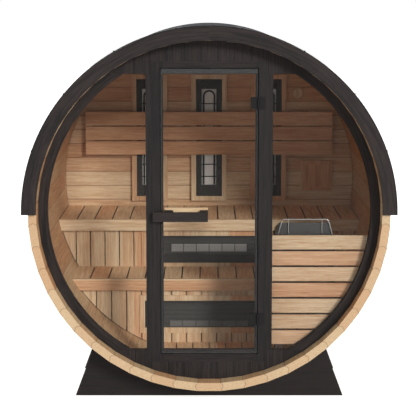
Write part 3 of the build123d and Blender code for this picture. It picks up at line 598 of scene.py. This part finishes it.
def framed(bm, outer, inner, front, back, ease=0.001):
    """A flat frame with mitred corners and eased front edges, between two upright rectangles.
    A rectangle is its left and right, and its bottom and top from the barrel's axis."""
    section = [(outer, 0, back), (outer, 0, front + ease), (outer, ease, front),
               (inner, -ease, front), (inner, 0, front + ease), (inner, 0, back)]
    loops = []
    for right, top in ((0, 0), (1, 0), (1, 1), (0, 1)):
        loop = []
        for (x0, x1, z0, z1), inset, y in section:
            x = x1 - inset if right else x0 + inset
            z = z1 - inset if top else z0 + inset
            loop.append(bm.verts.new((x, y, axis_height + z)))
        loops.append(loop)
    for first, second in zip(loops, loops[1:] + loops[:1]):
        for i in range(len(section)):
            j = (i + 1) % len(section)
            bm.faces.new((first[i], first[j], second[j], second[i]))


grey_seal = speckled("door_seal", shade(38, 39, 40), shade(50, 51, 52), 180.0, 0.75, detail=3.0, spread=0.1)
bm = bmesh.new()
framed(bm, seal_outer, seal_inner, seal_front, seal_back)
piece("door_seal", solid("door_seal", bm, grey_seal))

# Cabin boards: planed softwood, untreated, each board of its own tone, screwed to bearers and battens behind.
# Benches and floor run front to back, the risers stand upright, the guard and the backrest lie level.
cabin_pale, cabin_warm = shade(222, 202, 168), shade(210, 164, 122)
stave_gap_shade_start, stave_gap_shade_end = 0.9475, 0.9500
floor_pitch, bench_pitch, riser_pitch, guard_pitch, rest_pitch = 0.098, 0.110, 0.0904, 0.091, 0.096
guard_top, guard_gap = -0.1405, 0.0055
rest_top = 0.447


def cabin(name, across, along, depth, pitch, start, tones=0.0, pale=cabin_pale, warm=cabin_warm, joint=0.0,
          painted_gap_shade=0.0, rim=False):
    """Boards laid side by side at a pitch across one direction, from start, each with its tone.
    joint is how far in from its edge a board darkens. The side faces can be painted darker by a share, painted shade
    for the gaps between boards.
    rim says that the ends next to the staves get a dark band, painted shade for the shadowed gap between board ends and
    staves."""
    finish = Finish(name)
    span = {"x": finish.x, "y": finish.y, "z": finish.z}
    count = (span[across] - start) / pitch
    number = count.one("FLOOR")
    from_middle = count - number - 0.5
    colour, figure, _ = sawn(finish, from_middle * pitch, span[along], span[depth], number, pale, warm, tones)
    if joint:
        edge = 1 - finish.clamp((0.5 - abs(from_middle)) * pitch, joint / 3, joint)
        colour = finish.mix(edge * 0.6, colour, shade(116, 66, 42))
    # Painted shade: the boards' side faces are darkened, standing in for the shade that falls in the gaps between them.
    side = finish.clamp(finish.facing(across.upper()), 0.6, 0.9)
    colour = finish.mix(side * painted_gap_shade, colour, shade(84, 52, 34))
    # Painted shade: a dark band at the board ends next to the staves, standing in for the shadowed gap there.
    if rim:
        colour = finish.mix(finish.clamp(polar(finish)[0], stave_gap_shade_start, stave_gap_shade_end) * 0.8, colour, shade(70, 42, 28))
    return finish.close(colour, figure * 0.2 + 0.55, figure, 0.0006)


floor_wood = cabin("floor_wood", "x", "y", "z", floor_pitch, -floor_pitch / 2,
                   pale=shade(244, 214, 174), warm=shade(236, 180, 132), painted_gap_shade=0.8)
dress(floor_wood, "floor_boards")
bench_wood = cabin("bench_wood", "x", "y", "z", bench_pitch, -bench_pitch / 2, 43.45,
                   shade(250, 228, 188), shade(246, 204, 158), painted_gap_shade=0.8)
dress(bench_wood, "lower_bench_boards", "upper_bench_boards")
bench_edge_wood = cabin("bench_edge_wood", "z", "x", "y", 0.5, 0.1, 119.85)
dress(bench_edge_wood, "bench_fascias", "bench_bearers", "floor_bearers")
riser_wood = cabin("riser_wood", "x", "z", "y", riser_pitch, 0.0, 15.23, painted_gap_shade=0.8, rim=True)
dress(riser_wood, "lower_riser_slats", "upper_riser_slats")
guard_wood = cabin("guard_wood", "z", "x", "y", guard_pitch, axis_height + guard_top + guard_gap, 44.57,
                   shade(212, 196, 166), shade(200, 160, 124), painted_gap_shade=0.8)
dress(guard_wood, "stove_guard_boards")
guard_upright_wood = cabin("guard_upright_wood", "x", "z", "y", 0.2, 0.03,
                           pale=shade(74, 52, 40), warm=shade(60, 40, 30))
dress(guard_upright_wood, "stove_guard_battens")
backrest_wood = cabin("backrest_wood", "z", "x", "y", rest_pitch, axis_height + rest_top,
                      pale=shade(214, 172, 132), warm=shade(204, 148, 108))
dress(backrest_wood, "backrest_boards")
dress(cabin("upright_wood", "x", "z", "y", 0.2, 0.03), "backrest_battens")
dress(cabin("fitting_wood", "x", "z", "y", 0.131, 0.0), "heater_frames")
dress(cabin("vent_wood", "x", "z", "y", 0.24, 0.378), "wall_vents")

# Back wall: level tongued and grooved boards with chamfered edges, let into a groove round the staves.
# Their ends are rebated, which leaves a fine dark line where they meet the barrel.
board_pitch, seam_height = 0.093, 0.602
flat_end = 0.004
board_layers = ((0.9605, 0.8065, 0), (0.9605, 0.7760, 0), (0.9500, 0.7755, 0), (0.9500, 0.7712, 0),
                (0.9485, 0.7692, 0.0018))
back_wood = cabin("back_wood", "z", "x", "y", board_pitch, axis_height + seam_height, 58.73, joint=0.004)


def board_outline(low, high, reach, y, ease):
    """A board's outline at one depth: level edges, and ends that follow the barrel."""
    low, high = max(low + ease, flat_end - reach), min(high - ease, reach - flat_end)
    right = []
    for i in range(5):
        z = low + (high - low) * i / 4
        right.append((math.sqrt(reach * reach - z * z), y, axis_height + z))
    return right + [(-x, y, z) for x, y, z in reversed(right)]


bm = bmesh.new()
for k in range(-4, 17):
    high = seam_height - board_pitch * k
    loft(bm, [board_outline(high - board_pitch, high, *layer) for layer in board_layers])
back_boards = piece("back_wall_boards", solid("back_wall_boards", bm, back_wood))
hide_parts("back_wall")

# Heaters: black sheet-metal casings, three upright on the back wall and two lying in the risers.
# The upright ones have a bright wire screen and a bent rod on cross bars behind their slot, the lying ones bars
# and guard wires.
heater_centres = (-0.392, 0.0, 0.392)
casing_half, casing_low, casing_high = 0.0855, -0.1175, 0.6555
casing_front, casing_back = 0.7442, 0.7640
slot_half, slot_low, slot_high = 0.0485, -0.044, 0.591
slot_middle = (slot_low + slot_high) / 2
tray_front, tray_back = 0.7570, 0.7600
riser_half, riser_slot_half, riser_sheet = 0.387, 0.372, 0.0018
riser_heaters = ((-0.228, -0.8000, -0.6230, -0.7900, -0.6400), (0.162, -0.4670, -0.2900, -0.4100, -0.3020))
backing_front, backing_back, backing_lap = 0.0130, 0.0150, 0.001
strip_half = 0.2355
upper_strip, lower_strip = (0.1738, 0.1750, -0.3920, -0.3430), (-0.2162, -0.2150, -0.7830, -0.7500)
screen_y, screen_pitch, screen_wire_radius = 0.7545, 0.0105, 0.0008
screen_uprights, screen_levels = 9, 60
rod_half, rod_y, rod_foot, rod_head, rod_radius = 0.0353, 0.7490, 0.004, 0.0125, 0.0054
bar_count, bar_pitch = 7, 0.0803
cross_bar_y, cross_bar_drop, cross_bar_radius = 0.7505, 0.02, 0.0033
riser_bars, riser_bar_radius = ((0.1730, -0.3675, 0.052), (-0.2170, -0.7665, 0.034)), 0.0022
guard_rows = ((0.1715, -0.3560, 14), (-0.2185, -0.7150, 19))
guard_wire_pitch, guard_wire_radius, guard_wire_length = 0.008, 0.0012, 0.744

heater_sheet = speckled("heater_sheet", shade(34, 33, 31), shade(48, 47, 45), 260.0, 0.55, Specular_IOR_Level=0.3)
screen_wire = speckled("screen_wire", shade(226, 226, 224), shade(242, 242, 240), 90.0, 0.4, depth=0.0001)
guard_wire = speckled("guard_wire", shade(88, 88, 86), shade(112, 112, 110), 90.0, 0.5, depth=0.0001)
tray_finish = Finish("reflector")
speck = tray_finish.noise(tray_finish.place, 90.0)
colour = tray_finish.mix(speck, shade(206, 206, 204), shade(228, 228, 226))
colour = tray_finish.mix(tray_finish.y < 0.5, colour, shade(156, 156, 154))
reflector = tray_finish.close(colour, speck * 0.2 + 0.4, speck, 0.0002)

rows = Pattern("rod_rows", Count=9, Sides=6, StepX=0.0, StepZ=0.081, Length=0.097, Radius=0.002, Turn=90.0)
s = rows.size
half_count = (s["Count"] - 1) * -0.5
first = rows.node("ShaderNodeCombineXYZ", {}, {"X": half_count * s["StepX"], "Z": half_count * s["StepZ"]})
step = rows.node("ShaderNodeCombineXYZ", {}, {"X": s["StepX"], "Z": s["StepZ"]})
stations = rows.node("GeometryNodeMeshLine", {"mode": "OFFSET"}, {
    "Count": s["Count"], "Start Location": first, "Offset": step})
rod = rows.node("GeometryNodeMeshCylinder", {}, {
    "Vertices": s["Sides"], "Radius": s["Radius"], "Depth": s["Length"]}, "Mesh")
lean = rows.node("ShaderNodeCombineXYZ", {}, {"Y": s["Turn"] * (math.pi / 180)})
leaning = rows.node("GeometryNodeTransform", {}, {"Geometry": rod, "Rotation": lean})
one_row = rows.node("GeometryNodeInstanceOnPoints", {}, {"Points": stations, "Instance": leaning})
rows.end(rows.node("GeometryNodeInstanceOnPoints", {}, {"Points": rows.base, "Instance": one_row}), screen_wire)

bars = Pattern("bent_bars", Radius=0.0045, Bend=0.0353, Steps=12, Sides=12)
s = bars.size
line = bars.node("GeometryNodeMeshToCurve", {}, {"Mesh": bars.base})
rounded = bars.node("GeometryNodeFilletCurve", {"mode": "POLY"}, {
    "Curve": line, "Count": s["Steps"], "Radius": s["Bend"], "Limit Radius": True})
section = bars.node("GeometryNodeCurvePrimitiveCircle", {}, {"Resolution": s["Sides"], "Radius": s["Radius"]}, "Curve")
bars.end(bars.node("GeometryNodeCurveToMesh", {}, {
    "Curve": rounded, "Profile Curve": section, "Fill Caps": True}), heater_sheet)


def slab(bm, x0, x1, y0, y1, z0, z1, ease=0.0005):
    """A plate from y0 in front to y1 behind, with eased front edges."""
    corners = ((0, 0), (1, 0), (1, 1), (0, 1))
    loft(bm, [[(x1 - inset if right else x0 + inset, y, axis_height + (z1 - inset if top else z0 + inset))
               for right, top in corners] for inset, y in ((0, y1), (0, y0 + ease), (ease, y0))])


def joined(name, meshes, material):
    """Several meshes as one, in one material."""
    bm = bmesh.new()
    for mesh in meshes:
        bm.from_mesh(mesh)
    return solid(name, bm, material)


def rods(centres, count, pitch, length, radius, upright=False):
    """A row of equal rods round each centre: level ones above each other, or upright ones side by side."""
    step_x, step_z, turn = (pitch, 0.0, 0.0) if upright else (0.0, pitch, 90.0)
    return rows.grow(centres, Count=count, StepX=step_x, StepZ=step_z, Length=length, Radius=radius, Turn=turn)


casings, trays = bmesh.new(), bmesh.new()
for x in heater_centres:
    framed(casings, (x - casing_half, x + casing_half, casing_low, casing_high),
           (x - slot_half, x + slot_half, slot_low, slot_high), casing_front, casing_back)
    slab(trays, x - slot_half, x + slot_half, tray_front, tray_back, slot_low, slot_high)
for front, low, high, opening_low, opening_high in riser_heaters:
    framed(casings, (-riser_half, riser_half, low, high),
           (-riser_slot_half, riser_slot_half, opening_low, opening_high), front, front + riser_sheet)
    slab(casings, -riser_slot_half - backing_lap, riser_slot_half + backing_lap, front + backing_front,
         front + backing_back, opening_low - backing_lap, opening_high + backing_lap)
slab(trays, -strip_half, strip_half, *upper_strip)
casing = piece("heater_casings", solid("heater_casings", casings, heater_sheet))
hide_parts("heater_panels")
tray = piece("heater_reflectors", solid("heater_reflectors", trays, reflector))
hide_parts("heater_trays")

centres = [(x, screen_y, axis_height + slot_middle) for x in heater_centres]
mesh_wires = [
    rods(centres, screen_uprights, screen_pitch, slot_high - slot_low, screen_wire_radius, upright=True),
    rods(centres, screen_levels, screen_pitch, 2 * slot_half, screen_wire_radius)]
piece("heater_screens", joined("heater_screens", mesh_wires, screen_wire))

foot, head = axis_height + slot_low + rod_foot, axis_height + slot_high - rod_head
arches = [(x + side * rod_half, rod_y, z) for x in heater_centres
          for side, z in ((-1, foot), (-1, head), (1, head), (1, foot))]
links = [(i + j, i + j + 1) for i in range(0, len(arches), 4) for j in range(3)]
bar_centres = [(x, cross_bar_y, axis_height + slot_middle - cross_bar_drop) for x in heater_centres]
heater_rods = [bars.grow(arches, links, Radius=rod_radius),
               rods(bar_centres, bar_count, bar_pitch, 2 * slot_half, cross_bar_radius)]
heater_rods += [rods([(0, y, axis_height + z)], bar_count, bar_pitch, length, riser_bar_radius, upright=True)
                for y, z, length in riser_bars]
piece("heater_rods", joined("heater_rods", heater_rods, heater_sheet), smooth=50)

strip = bmesh.new()
slab(strip, -strip_half, strip_half, *lower_strip)
guard_wires = [rods([(0, y, axis_height + z)], number, guard_wire_pitch, guard_wire_length, guard_wire_radius)
               for y, z, number in guard_rows]
guard_wires.append(solid("lower_strip", strip, guard_wire))
piece("heater_guard_wires", joined("heater_guard_wires", guard_wires, guard_wire))

# Stove: dark grey sheet-metal cabinet and an open hopper for stones, whose rim falls to the back.
# A bright bent rail on splayed legs stands before it, with two thin rods.
stove_x, stove_y, shoulder = 0.544, -0.550, -0.165
hopper_half_width, hopper_half_depth, hopper_rise = 0.164, 0.132, 0.086
left_lean, right_lean, depth_lean = 0.0135, 0.033, 0.005
rim_front, rim_back, hopper_wall, hopper_bevel = -0.079, -0.146, 0.005, 0.0015
flange_half, flange_slot_half = 0.1675, 0.10
flange_heights, flange_slot_heights = (-0.1645, -0.1575), (-0.1630, -0.1590)
flange_front, flange_back, flange_ease = -0.6860, -0.6820, 0.0005
rail_half, rail_foot_half, rail_rod_half = 0.130, 0.158, 0.095
rail_radius, rail_bend, rail_rod_radius, rail_rod_bend = 0.0042, 0.018, 0.0028, 0.001
rail_y, rail_top, rail_foot = -0.6885, axis_height - 0.058, axis_height + shoulder + 0.002
stove_enamel = speckled("stove_enamel", shade(32, 32, 32), shade(42, 42, 42), 300.0, 0.5)
dress(stove_enamel, "stove_cabinet")


def hopper_ring(front_height, back_height, wall):
    """One level of the tapered hopper, drawn in by its wall."""
    ring = []
    for side, deep in ((-1, -1), (1, -1), (1, 1), (-1, 1)):
        z = front_height if deep < 0 else back_height
        taper = (z - shoulder) / hopper_rise
        side_lean = left_lean if side < 0 else right_lean
        ring.append((stove_x + side * (hopper_half_width - side_lean * taper - wall),
                     stove_y + deep * (hopper_half_depth - depth_lean * taper - wall), axis_height + z))
    return ring


foot, floor_top = shoulder + 0.0005, shoulder + 0.006
bm = bmesh.new()
loft(bm, [hopper_ring(foot, foot, 0), hopper_ring(rim_front, rim_back, 0),
          hopper_ring(rim_front, rim_back, hopper_wall), hopper_ring(floor_top, floor_top, hopper_wall)])
bmesh.ops.bevel(bm, geom=bm.edges[:], offset=hopper_bevel, segments=2, affect="EDGES")
hopper = piece("stone_hopper", solid("stone_hopper", bm, stove_enamel), smooth=40)
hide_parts("stove_hopper")
bm = bmesh.new()
framed(bm, (stove_x - flange_half, stove_x + flange_half, *flange_heights),
       (stove_x - flange_slot_half, stove_x + flange_slot_half, *flange_slot_heights),
       flange_front, flange_back, flange_ease)
piece("hopper_flange", solid("hopper_flange", bm, black_metal))

bright_rail = speckled("bright_rail", shade(136, 134, 132), shade(160, 158, 156), 60.0, 0.2, spread=0.1, depth=0,
                       Metallic=0.6)
path = [(stove_x - rail_foot_half, rail_y, rail_foot), (stove_x - rail_half, rail_y, rail_top),
        (stove_x + rail_half, rail_y, rail_top), (stove_x + rail_foot_half, rail_y, rail_foot)]
bent = bars.grow(path, [(0, 1), (1, 2), (2, 3)], Radius=rail_radius, Bend=rail_bend)
thin = bars.grow([(stove_x + side * rail_rod_half, rail_y, z) for side in (-1, 1) for z in (rail_foot, rail_top)],
                 [(0, 1), (2, 3)], Radius=rail_rod_radius, Bend=rail_rod_bend)
rail = piece("stove_rail_bar", joined("stove_rail_bar", [bent, thin], bright_rail), smooth=50)
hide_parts("stove_rail")

# Door handles: a dark softwood bar outside on two tapered blocks, and a broad pale board inside.
# Both are bolted together through the pane, so they swing with the door.
grip_left, grip_right = -0.2507, -0.0071
block_ends = ((grip_left, -0.2047, -0.1975), (grip_right, -0.0507, -0.0565))
block_top, block_shoulder, block_bottom = 0.0120, -0.0020, -0.0480
block_front, block_back = -0.8329, -0.8056
board_front, board_back, board_bottom, board_top = -0.7966, -0.7728, -0.0495, 0.0235
board_ease = 0.0025
bm = bmesh.new()
for outer, inner, foot in block_ends:
    outline = [(outer, block_top), (inner, block_top), (foot, block_shoulder), (foot, block_bottom),
               (outer, block_bottom)]
    loft(bm, [[(x, y, axis_height + z) for x, z in outline] for y in (block_front, block_back)])
piece("handle_blocks", solid("handle_blocks", bm, grip_stain), body="door")
grip_wood = cabin("grip_wood", "z", "x", "y", 0.2, 1.0, pale=shade(236, 216, 178), warm=shade(228, 204, 166))
bm = bmesh.new()
slab(bm, grip_left, grip_right, board_front, board_back, board_bottom, board_top, board_ease)
inner_grip = piece("inner_grip", solid("inner_grip", bm, grip_wood), body="door")
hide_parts("inner_handle")
